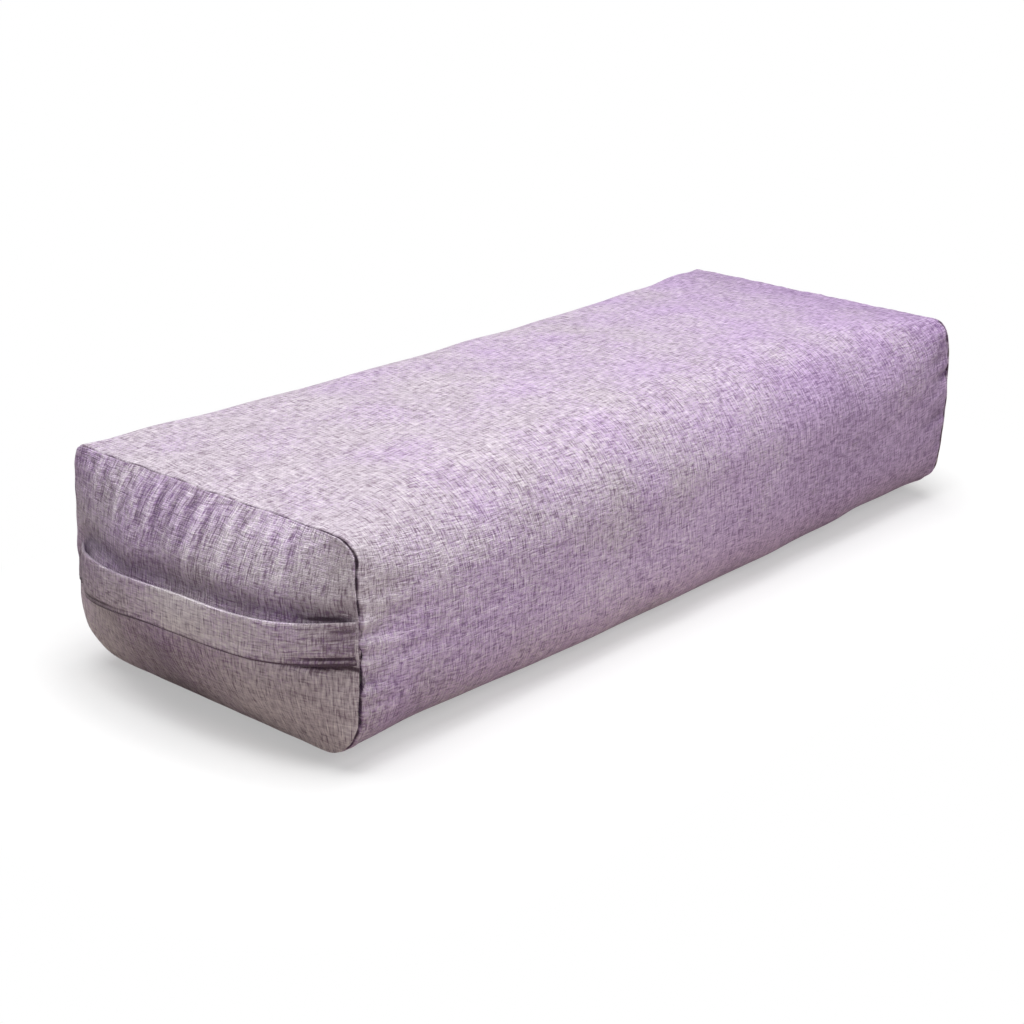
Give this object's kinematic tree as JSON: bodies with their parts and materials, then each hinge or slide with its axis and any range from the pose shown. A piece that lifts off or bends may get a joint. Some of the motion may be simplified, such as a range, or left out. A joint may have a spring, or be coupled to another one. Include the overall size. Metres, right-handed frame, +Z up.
{
  "type": "yoga bolster",
  "caption": "Rectangular yoga bolster: a sewn cloth cover with bulging gathered ends, a carry handle across each end and a back zip, over a lined foam and fibre core.",
  "frame": {"origin": "middle of the flat underside that the bolster rests on", "axes": "+X along the bolster, from the end shown in the picture to the hidden end; +Z up; the long side shown in the picture faces -Y and the zip is on the +Y side"},
  "size_m": [0.697, 0.2426, 0.15],
  "materials": {
    "cover_cloth": "matt heathered linen-look weave, lilac and purple-grey yarns",
    "handle_cloth": "matt heathered linen-look weave, folded double and edge stitched",
    "zip_tape_cloth": "matt close woven tape",
    "zip_tooth_plastic": "satin moulded acetal",
    "zip_plated_metal": "nickel plated, lightly worn",
    "liner_cotton": "matt plain cotton",
    "fibre_white": "loose polyester fibre",
    "foam_firm": "open-cell foam, firm",
    "foam_soft": "open-cell foam, soft"
  },
  "bodies": {
    "root": {"cover_body_panel": "cover_cloth", "cover_end_near": "cover_cloth", "cover_end_far": "cover_cloth", "carry_handle_near": "handle_cloth", "carry_handle_far": "handle_cloth", "zip_tape_upper": "zip_tape_cloth", "zip_tape_lower": "zip_tape_cloth", "zip_teeth_upper": "zip_tooth_plastic", "zip_teeth_lower": "zip_tooth_plastic", "zip_top_stop_upper": "zip_plated_metal", "zip_top_stop_lower": "zip_plated_metal", "zip_bottom_stop": "zip_plated_metal", "liner_body": "liner_cotton", "liner_end_near": "liner_cotton", "liner_end_far": "liner_cotton", "fibre_wrap": "fibre_white", "fibre_end_near": "fibre_white", "fibre_end_far": "fibre_white", "foam_base": "foam_firm", "foam_middle": "foam_soft", "foam_top": "foam_soft"},
    "slider": {"zip_slider": "zip_plated_metal"},
    "pull": {"zip_pull": "zip_plated_metal"}
  },
  "joints": [
    {"name": "zip_slide", "type": "slide", "parent": "root", "child": "slider", "axis": [1, 0, 0], "range_m": [0, 0.384], "deforming": ["zip_teeth_upper", "zip_teeth_lower"]},
    {"name": "zip_pull_swing", "type": "hinge", "parent": "slider", "child": "pull", "pos_m": [-0.193, 0.1161, 0.06], "axis": [0, 0, 1], "range_deg": [0, 180]}
  ]
}
